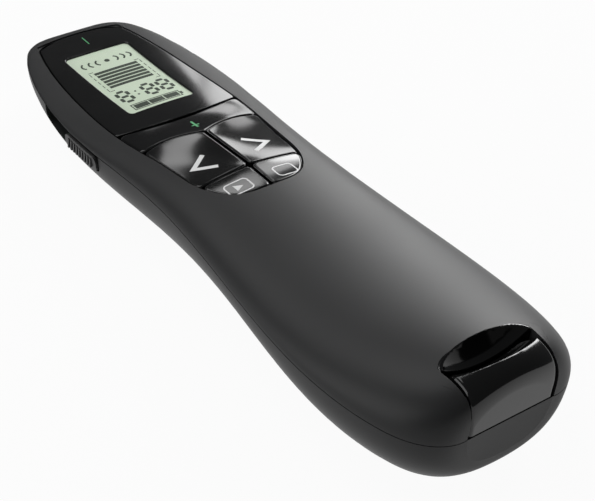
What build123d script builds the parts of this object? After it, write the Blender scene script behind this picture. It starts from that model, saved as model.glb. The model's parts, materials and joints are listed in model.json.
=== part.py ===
from build123d import *
import math
import os
from functools import lru_cache

import numpy as np

os.makedirs("parts", exist_ok=True)

# Hand-held wireless presentation remote, in millimetres.
# +Y points forward along the laser beam, +X to the right and +Z up.
# The origin is under the middle of the body, on the plane that the belly's two flats rest on.

# ---- what stands in a row inside, and so sets the housing's length ----
wall = 1.6
seam_gap = 0.16
fit = 0.12
cell_radius = 5.25
cell_length = 44.5
spring_length = 3.2
contact_thickness = 0.3
bay_wall = 1.0
bay_offset = 8.3
boss_radius = 2.9
boss_gap = 0.1
board_reach = 67.4
bay_length = cell_length + spring_length + 2 * contact_thickness
length = bay_offset + bay_length + bay_wall + 2 * (boss_gap + boss_radius) + board_reach

# ---- housing form: one value per station, tail to nose ----
stations = (-0.5, -0.305, -0.115, 0.076, 0.267, 0.5)
half_widths = (19.5, 20.5, 18.6, 17.0, 18.2, 15.05)
crown_rises = (12.6, 7.8, 5.55, 4.65, 2.4, 0.35)
seam_heights = (14.75, 13.0, 12.6, 12.1, 10.5, 10.2)
belly_depths = (14.5, 12.95, 11.6, 12.1, 10.15, 7.15)
belly_squareness = (2.5, 2.5, 2.1, 2.45, 2.72, 2.85)
plan_powers = (5.6, 5.4)
profile_powers = (6.6, 4.0)
belly_flat = 0.25

button_gap = 0.28
nose = length / 2
tail = -length / 2

# ---- console: window and buttons, set out from the nose ----
console_front = nose - 2.2
console_front_half = 9.0
console_mid_half = 12.8
console_mid = nose - 25.5
console_wide_half = 13.0
console_wide = nose - 40.5
console_narrow_half = 11.5
console_narrow = nose - 55.5
console_heel_half = 10.5
console_heel = nose - 62.2
console_rear = nose - 68.6
skin = 1.4
ledge_width = 1.1

laser_front = nose - 40.4
laser_front_side = nose - 38.25
nav_front = nose - 47.45
nav_front_bulge = nose - 45.8
nav_front_side = nose - 46.8
nav_rear = nose - 61.45
nav_rear_side = nose - 62.0
centre_gap = 0.7
button_corner = 0.9
button_travel = 0.6
stem_size = 3.0

# ---- display ----
display_half_width = 7.05
display_front = nose - 9.0
display_rear = nose - 33.6
display_sink = 1.25
display_corner = 0.9
lens_thickness = 0.95
lcd_thickness = 0.9
lcd_border = 0.7
holder_wall = 0.8
holder_thickness = 1.5

# ---- electronics ----
board_top = 8.2
board_thickness = 1.2
board_margin = 1.8
post_radius = 1.5
post_places = ((10.5, nose - 44.0), (10.5, nose - 62.0))
board_front = nose - 15.5
board_rear = nose - board_reach
board_notch = nose - 27.0
board_notch_half = 2.6
display_notch = nose - 23.0
display_notch_half = 9.1
tact_size = 5.0
tact_height = 1.8
plunger_radius = 1.4
plunger_height = 0.9
laser_axis_z = 6.9
laser_radius = 1.5
laser_rear = nose - 26.0
laser_length = 10.5
aperture_radius = 1.0
ring_radius = 1.6
motor_radius = 1.9
motor_length = 8.0
motor_y = nose - 54.0
motor_z = 4.6
weight_radius = 1.7
weight_length = 3.0
shaft_radius = 0.5

# ---- batteries: two AAA cells side by side ----
bay_rear = tail + bay_offset
bay_front = bay_rear + bay_length
cell_z = 7.95
cell_spacing = 10.8
nub_radius = 1.9
nub_height = 0.8
contact_width = 8.4
contact_height = 8.0
roof_thickness = 0.3
boss_x = 11.4
boss_y = bay_front + bay_wall + boss_gap + boss_radius
screw_head_radius = 1.9
screw_radius = 0.95
screw_head_z = 5.3
screw_head_height = 1.5
screw_tip_z = 13.6
door_half_width = 12.8
door_thickness = 0.9
door_gap = 0.3
door_corner = 3.0

# ---- receiver: a USB stick that slides into the tail, nose down by the tilt ----
receiver_tilt = 3.0
plug_tip = tail + 27.5
plug_tip_z = 15.95
plug_width = 12.0
plug_height = 4.5
plug_length = 12.0
plug_wall = 0.3
receiver_width = 15.0
receiver_height = 4.9
sleeve_wall = 0.5
sleeve_gap = 0.25
cap_half_width = 8.6
cap_front = tail + 7.6
cap_gap = 0.25
scoop_half_width = 11.4
scoop_front = tail + 10.2
scoop_length = 9.4
scoop_depth = 3.4
bezel_floor = 0.35
bezel_flare = 5.5

# ---- side controls, on the seam ----
slot_front = nose - 19.5
slot_rear = nose - 39.8
control_height = 3.1
control_drop = 0.3
side_gap = 0.25
notch_rise = 6.0
notch_reach = 4.5
slot_depth = 1.45
indicator_thickness = 0.4
proud = 0.4
knob_length = 10.6
switch_travel = 9.0
rocker_length = 14.0
rocker_y = nose - 24.0
timer_button_radius = 2.2
timer_button_y = nose - 38.0
side_travel = 0.5


def smooth_curve(values):
    """Natural cubic spline through one value per station, as a function of y."""
    ys = [share * length for share in stations]
    count = len(ys)
    spans = np.diff(ys)
    matrix = np.eye(count)
    right = np.zeros(count)
    for i in range(1, count - 1):
        matrix[i, i - 1 : i + 2] = [spans[i - 1], 2 * (spans[i - 1] + spans[i]), spans[i]]
        right[i] = 6 * ((values[i + 1] - values[i]) / spans[i] - (values[i] - values[i - 1]) / spans[i - 1])
    bends = np.linalg.solve(matrix, right)

    def at(y):
        y = min(max(y, ys[0]), ys[-1])
        i = min(max(int(np.searchsorted(ys, y)) - 1, 0), count - 2)
        a = (ys[i + 1] - y) / spans[i]
        b = 1 - a
        bend = (a**3 - a) * bends[i] + (b**3 - b) * bends[i + 1]
        return float(a * values[i] + b * values[i + 1] + bend * spans[i] ** 2 / 6)

    return at


half_width_at = smooth_curve(half_widths)
crown_at = smooth_curve(crown_rises)
raw_seam_at = smooth_curve(seam_heights)
depth_at = smooth_curve(belly_depths)
squareness_at = smooth_curve(belly_squareness)


def end_taper(y, half_length, powers):
    """Superellipse factor that rounds the form off at both ends."""
    power = powers[0] + (powers[1] - powers[0]) / (1 + math.exp(-16 * y / length))
    return max(1 - abs(y / half_length) ** power, 0) ** (1 / power)


def belly_low(y):
    return raw_seam_at(y) - depth_at(y) * end_taper(y, length / 2, profile_powers)


base = min(belly_low(tail + length * k / 200) for k in range(1, 200)) + belly_flat


def seam_at(y):
    return raw_seam_at(y) - base


def crown_z(y, inset=0.0):
    """Height of the form's ridge line over x = 0."""
    rise = (crown_at(y) - inset) * end_taper(y, length / 2 - inset, profile_powers)
    return seam_at(y) + rise


def section(y, half_width, rise, depth, squareness):
    """Cross-section at y: an elliptical crown over a squarer belly, meeting upright at the seam."""
    round_pull = 0.5523
    belly_pull = (2 ** (-1 / squareness) - 0.5) / 0.375
    plane = Plane(origin=(0, y, seam_at(y)), x_dir=(1, 0, 0), z_dir=(0, -1, 0))
    with BuildSketch(plane) as outline:
        with BuildLine():
            for side in (1, -1):
                w = side * half_width
                Bezier((w, 0), (w, round_pull * rise), (round_pull * w, rise), (0, rise))
                Bezier((w, 0), (w, -belly_pull * depth), (belly_pull * w, -depth), (0, -depth))
        make_face()
    return outline.sketch


@lru_cache(maxsize=None)
def form(inset, floor=None, count=16):
    """Solid of the housing's outer form, moved inwards by inset and cut flat underneath."""
    half_length = length / 2 - inset
    margin = 0.02
    sections = []
    for k in range(count):
        y = -half_length * math.cos(math.pi * (margin + (1 - 2 * margin) * k / (count - 1)))
        plan = end_taper(y, half_length, plan_powers)
        profile = end_taper(y, half_length, profile_powers)
        rise = max(crown_at(y) - inset, 0.25) * profile
        sections.append(
            section(y, (half_width_at(y) - inset) * plan, rise, (depth_at(y) - inset) * profile, squareness_at(y))
        )
    with BuildPart() as body:
        loft(sections)
        split(bisect_by=Plane.XY.offset(inset if floor is None else floor), keep=Keep.TOP)
    return body.part


def prism(sketch, low=-5.0, high=40.0):
    """Upright block over a plan outline."""
    return extrude(Pos(0, 0, low) * sketch, amount=high - low, dir=(0, 0, 1), mode=Mode.PRIVATE)


def box(x0, x1, y0, y1, z0, z1):
    centre = Pos((x0 + x1) / 2, (y0 + y1) / 2, (z0 + z1) / 2)
    return centre * Box(x1 - x0, y1 - y0, z1 - z0, mode=Mode.PRIVATE)


def rounded_plan(width, length_y, y, corner):
    """Plan rectangle with rounded corners, centred on the middle plane."""
    with BuildSketch() as plan:
        with Locations((0, y)):
            RectangleRounded(width, length_y, corner)
    return plan.sketch


def half_space(above, gap):
    """Everything above, or below, the seam sheet, leaving half the seam gap."""
    far = 60 if above else -60
    shift = gap / 2 if above else -gap / 2
    count = 25
    reach = length * 0.55
    points = []
    for k in range(count):
        y = -reach + 2 * reach * k / (count - 1)
        points.append((y, seam_at(y) + shift))
    with BuildPart() as block:
        with BuildSketch(Plane.YZ):
            with BuildLine():
                Spline(*points)
                Line(points[-1], (reach, far))
                Line((reach, far), (-reach, far))
                Line((-reach, far), points[0])
            make_face()
        extrude(amount=50, both=True)
    return block.part


outer = form(0.0, floor=0.0, count=20)
inner = form(wall)
upper_half = half_space(True, seam_gap)
lower_half = half_space(False, seam_gap)

# ---- plan outlines ----
side_x = console_wide_half + 0.6


def console_plan(grow=0.0, front_grow=None):
    """Outline of the window and keys together, moved outwards by grow."""
    ahead = grow if front_grow is None else front_grow
    slant = 0.7 * grow
    with BuildSketch() as outline:
        with BuildLine():
            edge = Spline(
                (console_front_half + grow, console_front + ahead),
                (console_mid_half + grow, console_mid),
                (console_wide_half + grow, console_wide),
                (console_narrow_half + grow, console_narrow),
                (console_heel_half + grow, console_heel),
                (console_heel_half - 3.6 + slant, console_rear + 1.3 - slant),
                (0, console_rear - grow),
                tangents=((0.35, -1), (-1, 0)),
            )
            mirror(edge, about=Plane.YZ)
            ThreePointArc(
                (-console_front_half - grow, console_front + ahead),
                (0, console_front + 0.9 + ahead),
                (console_front_half + grow, console_front + ahead),
            )
        make_face()
    return outline.sketch


def divider(centre, side, bulge=None, shift=0.0):
    """Edges across the console, left to right: one arc, or an arch over each half."""
    end = side + shift
    middle = centre + shift
    if bulge is None:
        return [ThreePointArc((-side_x, end), (0, middle), (side_x, end), mode=Mode.PRIVATE)]
    half = side_x / 2
    return [
        ThreePointArc((-side_x, end), (-half, bulge + shift), (0, middle), mode=Mode.PRIVATE),
        ThreePointArc((0, middle), (half, bulge + shift), (side_x, end), mode=Mode.PRIVATE),
    ]


def band(front, rear, gap=0.0):
    """Plan region between two dividers, drawn in by half the gap at each."""
    ahead = divider(*front, shift=-gap / 2)
    behind = divider(*rear, shift=gap / 2)
    with BuildSketch() as region:
        with BuildLine():
            add(ahead)
            add(behind)
            Line(ahead[0] @ 0, behind[0] @ 0)
            Line(ahead[-1] @ 1, behind[-1] @ 1)
        make_face()
    return region.sketch


beyond_front = (nose + 5, nose + 5.1)
laser_line = (laser_front, laser_front_side)
nav_line = (nav_front, nav_front_side, nav_front_bulge)
toe_line = (nav_rear, nav_rear_side)
beyond_rear = (console_rear - 5, console_rear - 5.1)


def key_outline(front, rear, side=0):
    """Outline of one key: its share of the console, less the running gap, with eased corners."""
    with BuildSketch() as result:
        add(console_plan(-button_gap / 2))
        add(band(front, rear, button_gap), mode=Mode.INTERSECT)
        if side:
            with Locations((side * (20 + centre_gap / 2), 0)):
                Rectangle(40, 3 * length, mode=Mode.INTERSECT)
        fillet(result.vertices(), button_corner)
    return result.sketch


laser_key = key_outline(laser_line, nav_line)
next_key = key_outline(nav_line, toe_line, 1)
back_key = key_outline(nav_line, toe_line, -1)
blank_key = key_outline(toe_line, beyond_rear, 1)
slideshow_key = key_outline(toe_line, beyond_rear, -1)
window_plan = key_outline(beyond_front, laser_line)

key_floor = 6.0
key_skin = outer - form(skin)

# ---- display: everything tilts with the crown line ----
display_mid = (display_front + display_rear) / 2
display_length = display_front - display_rear
display_slope = (crown_z(display_rear) - crown_z(display_front)) / display_length
display_tilt = math.degrees(math.atan(display_slope))
display_plane = Plane(
    origin=(0, display_mid, crown_z(display_mid) - display_sink),
    x_dir=(1, 0, 0),
    z_dir=(0, display_slope, 1),
)
display_opening = rounded_plan(2 * display_half_width, display_length, display_mid, display_corner)
lens_plan = rounded_plan(2 * display_half_width - 0.1, display_length - 0.1, display_mid, display_corner)

with BuildPart() as display_window:
    add(key_skin)
    add(prism(window_plan, key_floor), mode=Mode.INTERSECT)
    add(half_space(True, 3 * seam_gap), mode=Mode.INTERSECT)
    add(prism(display_opening), mode=Mode.SUBTRACT)
display_window.part.label = "display_window"

with BuildPart() as display_lens:
    add(outer - form(lens_thickness))
    add(prism(lens_plan, key_floor), mode=Mode.INTERSECT)
display_lens.part.label = "display_lens"

lcd_width = 2 * (display_half_width + lcd_border)
lcd_length = display_length + 2 * lcd_border
with BuildPart() as lcd_panel:
    with BuildSketch(display_plane.offset(-fit)):
        Rectangle(2 * display_half_width - 2 * fit, display_length - 2 * fit)
    extrude(amount=-(skin - display_sink + 2 * fit))
    with BuildSketch(display_plane.offset(-(skin - display_sink) - 3 * fit)):
        Rectangle(lcd_width, lcd_length)
    extrude(amount=-lcd_thickness)
lcd_panel.part.label = "lcd_panel"

holder_top = -(skin - display_sink) - 3 * fit
with BuildPart() as lcd_holder:
    with BuildSketch(display_plane.offset(holder_top)):
        Rectangle(lcd_width + 2 * fit + 2 * holder_wall, lcd_length + 2 * fit + 2 * holder_wall)
        Rectangle(lcd_width + 2 * fit, lcd_length + 2 * fit, mode=Mode.SUBTRACT)
    extrude(amount=-holder_thickness)
lcd_holder.part.label = "lcd_holder"

# ---- keys: a skin cap on a stem over each tact switch ----
switch_top = board_top + tact_height + plunger_height
stem_bottom = switch_top + button_travel + 0.2
key_positions = {
    "laser_button": [(0, laser_front - 3.6)],
    "back_button": [(-6.3, (nav_front + nav_rear) / 2)],
    "next_button": [(6.3, (nav_front + nav_rear) / 2)],
    "slideshow_button": [(-5.0, nav_rear - 3.3)],
    "blank_button": [(5.0, nav_rear - 3.3)],
}
key_outlines = {
    "laser_button": laser_key,
    "back_button": back_key,
    "next_button": next_key,
    "slideshow_button": slideshow_key,
    "blank_button": blank_key,
}


def key(name):
    with BuildPart() as cap:
        add(key_skin)
        add(prism(key_outlines[name], key_floor), mode=Mode.INTERSECT)
        for x, y in key_positions[name]:
            top = crown_z(y) - skin
            with BuildSketch(Plane.XY.offset(stem_bottom)):
                with Locations((x, y)):
                    Rectangle(stem_size, stem_size)
                    Rectangle(stem_size + 1.4, 0.8)
            extrude(amount=top - stem_bottom)
    cap.part.label = name
    return cap


laser_button = key("laser_button")
back_button = key("back_button")
next_button = key("next_button")
slideshow_button = key("slideshow_button")
blank_button = key("blank_button")

# ---- key frame: the inner plate that the stems run through ----
key_room = form(skin + button_travel + 0.25)
frame_underside = form(skin + button_travel + 1.15)
frame_roof = form(wall + fit)
frame_rear = console_rear - ledge_width - 1
frame_front = laser_front - 0.4
with BuildPart() as key_frame:
    add(frame_roof - frame_underside)
    add(prism(console_plan(ledge_width, 0), key_floor), mode=Mode.INTERSECT)
    add(box(-30, 30, frame_rear, frame_front, 0, 40), mode=Mode.INTERSECT)
    add(upper_half, mode=Mode.INTERSECT)
    add(prism(console_plan(button_gap / 2), key_floor) - key_room, mode=Mode.SUBTRACT)
    with BuildSketch(Plane.XY):
        for places in key_positions.values():
            with Locations(*places):
                Rectangle(stem_size + 0.6, stem_size + 0.6)
                Rectangle(stem_size + 2.0, 1.4)
    extrude(amount=30, mode=Mode.SUBTRACT)
key_frame.part.label = "key_frame"

# ---- battery bay and receiver dock outlines ----
bay_half = cell_spacing / 2 + cell_radius + 0.35
door_front = bay_front + 0.5
door_rear = bay_rear - 0.5
door_mid = (door_front + door_rear) / 2
door_length = door_front - door_rear
door_plan = rounded_plan(2 * door_half_width, door_length, door_mid, door_corner)
door_opening = rounded_plan(
    2 * (door_half_width + door_gap), door_length + 2 * door_gap, door_mid, door_corner + door_gap
)
door_skin = outer - form(door_thickness)

with BuildPart() as battery_door:
    add(door_skin)
    add(prism(door_plan, -5, seam_at(door_mid) - 4), mode=Mode.INTERSECT)
battery_door.part.label = "battery_door"

# ---- receiver: pieces run along its own tilted axis, from the plug tip rearwards ----
tilt = math.radians(receiver_tilt)
receiver_plane = Plane(
    origin=(0, plug_tip, plug_tip_z),
    x_dir=(1, 0, 0),
    z_dir=(0, -math.cos(tilt), math.sin(tilt)),
)
stick_length = (plug_tip - cap_front) / math.cos(tilt)

with BuildPart() as usb_shell:
    with BuildSketch(receiver_plane):
        RectangleRounded(plug_width, plug_height, 0.5)
        RectangleRounded(plug_width - 2 * plug_wall, plug_height - 2 * plug_wall, 0.3, mode=Mode.SUBTRACT)
    extrude(amount=plug_length + 1.5)
usb_shell.part.label = "usb_shell"

tongue_thickness = 1.9
with BuildPart() as usb_tongue:
    with BuildSketch(receiver_plane.offset(0.6)):
        with Locations((0, plug_height / 2 - plug_wall - fit / 2 - tongue_thickness / 2)):
            Rectangle(plug_width - 2 * plug_wall - 4 * fit, tongue_thickness)
    extrude(amount=plug_length)
usb_tongue.part.label = "usb_tongue"

contact_pitch = 2.3
tongue_face = plug_height / 2 - plug_wall - fit / 2 - tongue_thickness
with BuildPart() as usb_contacts:
    with BuildSketch(receiver_plane.offset(1.2)):
        with GridLocations(contact_pitch, 1, 4, 1):
            with Locations((0, tongue_face - 0.15)):
                Rectangle(1.1, 0.3)
    extrude(amount=plug_length - 3)
usb_contacts.part.label = "usb_contacts"

with BuildPart() as receiver_body:
    with BuildSketch(receiver_plane.offset(plug_length)):
        RectangleRounded(receiver_width, receiver_height, 1.2)
    extrude(amount=stick_length - plug_length - 0.5)
    with BuildSketch(receiver_plane.offset(plug_length)):
        RectangleRounded(plug_width + 0.1, plug_height + 0.1, 0.5)
    extrude(amount=stick_length - plug_length - 2.5, mode=Mode.SUBTRACT)
receiver_body.part.label = "receiver_body"

with BuildPart() as receiver_board:
    with BuildSketch(receiver_plane.offset(plug_length + 1.6)):
        with Locations((0, -0.3)):
            Rectangle(plug_width - 1.2, 0.8)
    extrude(amount=stick_length - plug_length - 4.4)
    with BuildSketch(receiver_plane.offset(plug_length + 2.2)):
        with Locations((0, 0.5)):
            Rectangle(5.0, 0.8)
    extrude(amount=2.4)
receiver_board.part.label = "receiver_board"

scoop_mid = scoop_front - scoop_length / 2
scoop_z = crown_z(scoop_front)
scoop_size = (scoop_half_width, scoop_length / 2, scoop_depth)
scoop_ball = scale(Sphere(1, rotation=(0, 90, 0), mode=Mode.PRIVATE), by=scoop_size)
scoop = Pos(0, scoop_mid, scoop_z) * scoop_ball

with BuildPart() as receiver_cap:
    add(outer)
    add(
        box(-cap_half_width, cap_half_width, tail - 5, cap_front, seam_at(tail) + 0.2, 40),
        mode=Mode.INTERSECT,
    )
    add(scoop, mode=Mode.SUBTRACT)
receiver_cap.part.label = "receiver_cap"

# The dock bezel is the fixed half of the finger scoop, just ahead of the cap.
with BuildSketch() as bezel_plan:
    with BuildLine():
        bezel_side = Polyline(
            (0, cap_front + cap_gap),
            (cap_half_width + cap_gap, cap_front + cap_gap),
            (cap_half_width + cap_gap, cap_front - bezel_flare),
            (scoop_half_width, cap_front),
        )
        bezel_arc = Spline(
            (scoop_half_width, cap_front),
            (scoop_half_width * 0.75, scoop_front - 0.7),
            (0, scoop_front + 0.3),
            tangents=((-0.1, 1), (-1, 0)),
        )
        Line((0, scoop_front + 0.3), (0, cap_front + cap_gap))
    make_face()
    mirror(about=Plane.YZ)
bezel_z = scoop_z - scoop_depth - bezel_floor
with BuildPart() as dock_bezel:
    add(outer)
    add(prism(bezel_plan.sketch, bezel_z, 40), mode=Mode.INTERSECT)
    add(scoop, mode=Mode.SUBTRACT)
dock_bezel.part.label = "dock_bezel"

# ---- side controls: notches in the bottom shell's upper edge, just under the seam ----
slot_mid = (slot_front + slot_rear) / 2


def seam_slope(y, span):
    return (seam_at(y + span / 2) - seam_at(y - span / 2)) / span


def control_z(height, y):
    """Height of the middle of a control that hangs just under the seam."""
    return seam_at(y) - control_drop - height / 2


def side_block(length_y, height, y, z, slope, side, corner, reach):
    """Rounded bar that runs sideways out through the wall at y, z, level with the seam."""
    start = half_width_at(y) - reach
    plane = Plane(origin=(side * start, y, z), x_dir=(0, 1, slope), z_dir=(side, 0, 0))
    with BuildSketch(plane) as end:
        RectangleRounded(length_y, height, corner)
    return extrude(end.sketch, amount=reach + 10, mode=Mode.PRIVATE)


def notch(length_y, height, y, slope, side, corner):
    """Room for a control of that size, open upwards to the seam."""
    tall = height + 2 * side_gap + notch_rise
    z = control_z(height, y) + notch_rise / 2
    return side_block(length_y, tall, y, z, slope, side, corner, notch_reach)


slot_slope = seam_slope(slot_mid, slot_front - slot_rear)
rocker_slope = seam_slope(rocker_y, rocker_length)
timer_slope = seam_slope(timer_button_y, 2 * timer_button_radius)
timer_size = 2 * timer_button_radius
slot_cut = notch(slot_front - slot_rear, control_height, slot_mid, slot_slope, -1, 1.4)
rocker_cut = notch(rocker_length + 2 * side_gap, control_height, rocker_y, rocker_slope, 1, 1.4)
timer_cut = notch(timer_size + 2 * side_gap, timer_size, timer_button_y, timer_slope, 1, 2.0)
proud_form = form(-proud, floor=-0.5)
side_depth = wall + 0.6

knob_mid = slot_rear + side_gap + knob_length / 2
knob_z = control_z(control_height, slot_mid) + slot_slope * (knob_mid - slot_mid)
knob_block = side_block(knob_length, control_height, knob_mid, knob_z, slot_slope, -1, 1.2, slot_depth)
with BuildPart() as power_slider:
    add(proud_form & knob_block)
power_slider.part.label = "power_slider"

indicator_block = side_block(
    slot_front - slot_rear + 2,
    control_height + 1.6,
    slot_mid,
    control_z(control_height, slot_mid),
    slot_slope,
    -1,
    1.5,
    wall + 2 * indicator_thickness,
)
with BuildPart() as switch_indicator:
    add(form(wall + fit) & indicator_block)
switch_indicator.part.label = "switch_indicator"

rocker_block = side_block(
    rocker_length,
    control_height,
    rocker_y,
    control_z(control_height, rocker_y),
    rocker_slope,
    1,
    1.2,
    side_depth,
)
with BuildPart() as timer_rocker:
    add(proud_form & rocker_block)
timer_rocker.part.label = "timer_rocker"

timer_block = side_block(
    timer_size,
    timer_size,
    timer_button_y,
    control_z(timer_size, timer_button_y),
    timer_slope,
    1,
    1.8,
    side_depth,
)
with BuildPart() as timer_button:
    add(proud_form & timer_block)
timer_button.part.label = "timer_button"

# ---- circuit board and what stands on it ----
board_bottom = board_top - board_thickness
with BuildPart() as circuit_board:
    add(form(wall + board_margin))
    add(box(-30, 30, board_rear, board_front, board_bottom, board_top), mode=Mode.INTERSECT)
    add(box(-board_notch_half, board_notch_half, board_notch, nose, 0, 20), mode=Mode.SUBTRACT)
    add(box(-display_notch_half, display_notch_half, display_notch, nose, 0, 20), mode=Mode.SUBTRACT)
circuit_board.part.label = "circuit_board"

with BuildPart() as tact_switches:
    for places in key_positions.values():
        with BuildSketch(Plane.XY.offset(board_top)):
            with Locations(*places):
                RectangleRounded(tact_size, tact_size, 0.4)
        extrude(amount=tact_height)
        with BuildSketch(Plane.XY.offset(board_top + tact_height)):
            with Locations(*places):
                Circle(plunger_radius)
        extrude(amount=plunger_height)
tact_switches.part.label = "tact_switches"

side_switch_depth = 2.4
side_switch_height = 1.5
side_places = (rocker_y - rocker_length / 4, rocker_y + rocker_length / 4, timer_button_y)
with BuildPart() as side_switches:
    for y in side_places:
        face_x = half_width_at(y) - side_depth - side_travel - 0.5
        with Locations((face_x - side_switch_depth / 2, y, board_top + side_switch_height / 2)):
            Box(side_switch_depth, 4.0, side_switch_height)
side_switches.part.label = "side_switches"

slide_switch_y = knob_mid + switch_travel / 2 - 3.0
slide_x = -half_width_at(slide_switch_y) + wall + 1.6
with BuildPart() as slide_switch:
    with Locations((slide_x + 1.9, slide_switch_y, board_top + 0.95)):
        Box(3.8, 10.0, 1.9)
slide_switch.part.label = "slide_switch"

chip_places = {
    (0, laser_front - 9.5): (6.0, 3.0),
    (-9.5, nav_front + 1): (3.0, 5.0),
    (9.5, nav_front + 1): (3.0, 4.0),
}
with BuildPart() as board_chips:
    for (x, y), (wide, deep) in chip_places.items():
        with Locations((x, y, board_top + 0.45)):
            Box(wide, deep, 0.9)
    with Locations((0, laser_front, board_bottom - 0.45)):
        Box(7.0, 7.0, 0.9)
board_chips.part.label = "board_chips"

# ---- laser: a barrel in two saddles behind a ring in the nose ----
laser_front_y = laser_rear + laser_length
with BuildPart() as laser_barrel:
    with BuildSketch(Plane(origin=(0, laser_rear, laser_axis_z), x_dir=(1, 0, 0), z_dir=(0, 1, 0))):
        Circle(laser_radius)
    extrude(amount=laser_length)
    with BuildSketch(Plane(origin=(0, laser_rear + 1.5, laser_axis_z), x_dir=(1, 0, 0), z_dir=(0, 1, 0))):
        Circle(laser_radius - 0.4)
    extrude(amount=laser_length, mode=Mode.SUBTRACT)
laser_barrel.part.label = "laser_barrel"

with BuildPart() as laser_lens:
    with BuildSketch(Plane(origin=(0, laser_front_y - 1.6, laser_axis_z), x_dir=(1, 0, 0), z_dir=(0, 1, 0))):
        Circle(laser_radius - 0.4 - 0.02)
    extrude(amount=1.0)
laser_lens.part.label = "laser_lens"

with BuildPart() as aperture_ring:
    with BuildSketch(Plane(origin=(0, nose - 5.5, laser_axis_z), x_dir=(1, 0, 0), z_dir=(0, 1, 0))):
        Circle(ring_radius - 0.05)
        Circle(aperture_radius, mode=Mode.SUBTRACT)
    extrude(amount=10)
    add(outer, mode=Mode.INTERSECT)
aperture_ring.part.label = "aperture_ring"

# ---- buzzer: a motor with an off-centre weight, under the board ----
motor_plane = Plane(origin=(-motor_length + 1.0, motor_y, motor_z), x_dir=(0, 1, 0), z_dir=(1, 0, 0))
with BuildPart() as vibration_motor:
    with BuildSketch(motor_plane):
        Circle(motor_radius)
    extrude(amount=motor_length)
vibration_motor.part.label = "vibration_motor"

with BuildPart() as motor_shaft:
    with BuildSketch(motor_plane.offset(motor_length + 0.05)):
        Circle(shaft_radius)
    extrude(amount=weight_length + 1.0)
motor_shaft.part.label = "motor_shaft"

with BuildPart() as vibration_weight:
    with BuildSketch(motor_plane.offset(motor_length + 0.6)):
        Circle(weight_radius)
        with Locations((0, weight_radius)):
            Rectangle(3 * weight_radius, 2 * weight_radius - 1.0, mode=Mode.SUBTRACT)
        Circle(shaft_radius + 0.4)
        Circle(shaft_radius, mode=Mode.SUBTRACT)
    extrude(amount=weight_length)
vibration_weight.part.label = "vibration_weight"

# ---- cells, springs and contact plates ----
cell_x = cell_spacing / 2
cell_ends = {
    "battery_left": (-1, bay_rear + contact_thickness + spring_length),
    "battery_right": (1, bay_rear + contact_thickness),
}


def cell(name):
    side, rear = cell_ends[name]
    body_length = cell_length - nub_height
    nub_start = body_length if side < 0 else -nub_height
    body_start = rear if side < 0 else rear + nub_height
    with BuildPart() as battery:
        with BuildSketch(Plane(origin=(side * cell_x, body_start, cell_z), x_dir=(1, 0, 0), z_dir=(0, 1, 0))):
            Circle(cell_radius)
        extrude(amount=body_length)
        with BuildSketch(
            Plane(origin=(side * cell_x, body_start + nub_start, cell_z), x_dir=(1, 0, 0), z_dir=(0, 1, 0))
        ):
            Circle(nub_radius)
        extrude(amount=nub_height)
    battery.part.label = name
    return battery


battery_left = cell("battery_left")
battery_right = cell("battery_right")

spring_places = {-1: bay_rear + contact_thickness, 1: bay_front - contact_thickness - spring_length}
with BuildPart() as battery_springs:
    for side, start in spring_places.items():
        with BuildSketch(Plane(origin=(side * cell_x, start + 0.1, cell_z), x_dir=(1, 0, 0), z_dir=(0, 1, 0))):
            Circle(3.2)
            Circle(2.6, mode=Mode.SUBTRACT)
        extrude(amount=spring_length - 0.2)
battery_springs.part.label = "battery_springs"

with BuildPart() as battery_contacts:
    for end in (bay_rear, bay_front - contact_thickness):
        with Locations(*[(side * cell_x, end + contact_thickness / 2, cell_z) for side in (-1, 1)]):
            Box(contact_width, contact_thickness, contact_height)
battery_contacts.part.label = "battery_contacts"

roof_z = cell_z + cell_radius + 0.1
with BuildPart() as battery_tray:
    add(form(wall + fit))
    add(
        box(-30, 30, bay_rear - bay_wall, bay_front + bay_wall, 0, roof_z + roof_thickness), mode=Mode.INTERSECT
    )
    add(box(-bay_half, bay_half, bay_rear - 0.02, bay_front + 0.02, 0, roof_z), mode=Mode.SUBTRACT)
    for side in (-1, 1):
        outside = side * (bay_half + bay_wall + 20)
        add(
            box(*sorted((side * (bay_half + bay_wall), outside)), -length, length, 0, roof_z),
            mode=Mode.SUBTRACT,
        )
battery_tray.part.label = "battery_tray"

# ---- sleeve that guides the receiver ----
sleeve_end = (plug_tip - scoop_front - 0.8) / math.cos(tilt)
with BuildPart() as receiver_sleeve:
    with BuildSketch(receiver_plane.offset(plug_length + 0.3)):
        Rectangle(
            receiver_width + 2 * (sleeve_gap + 2 * sleeve_wall), receiver_height + 2 * (sleeve_gap + sleeve_wall)
        )
        Rectangle(receiver_width + 2 * sleeve_gap, receiver_height + 2 * sleeve_gap, mode=Mode.SUBTRACT)
    extrude(amount=sleeve_end - plug_length - 0.3)
    add(form(wall + fit), mode=Mode.INTERSECT)
    add(box(-30, 30, -length, length, 0, roof_z + roof_thickness), mode=Mode.SUBTRACT)
receiver_sleeve.part.label = "receiver_sleeve"

# ---- screws from below into the top shell ----
with BuildPart() as housing_screws:
    with BuildSketch(Plane.XY.offset(screw_head_z - screw_head_height)):
        with Locations((boss_x, boss_y), (-boss_x, boss_y)):
            Circle(screw_head_radius)
    extrude(amount=screw_head_height)
    with BuildSketch(Plane.XY.offset(screw_head_z)):
        with Locations((boss_x, boss_y), (-boss_x, boss_y)):
            Circle(screw_radius)
    extrude(amount=screw_tip_z - screw_head_z)
    with BuildSketch(Plane.XY.offset(screw_head_z - screw_head_height)):
        with Locations((boss_x, boss_y), (-boss_x, boss_y)):
            Rectangle(2.2, 0.5)
            Rectangle(0.5, 2.2)
    extrude(amount=0.7, mode=Mode.SUBTRACT)
housing_screws.part.label = "housing_screws"

walls = outer - inner
trim_form = form(wall / 2)


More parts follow.
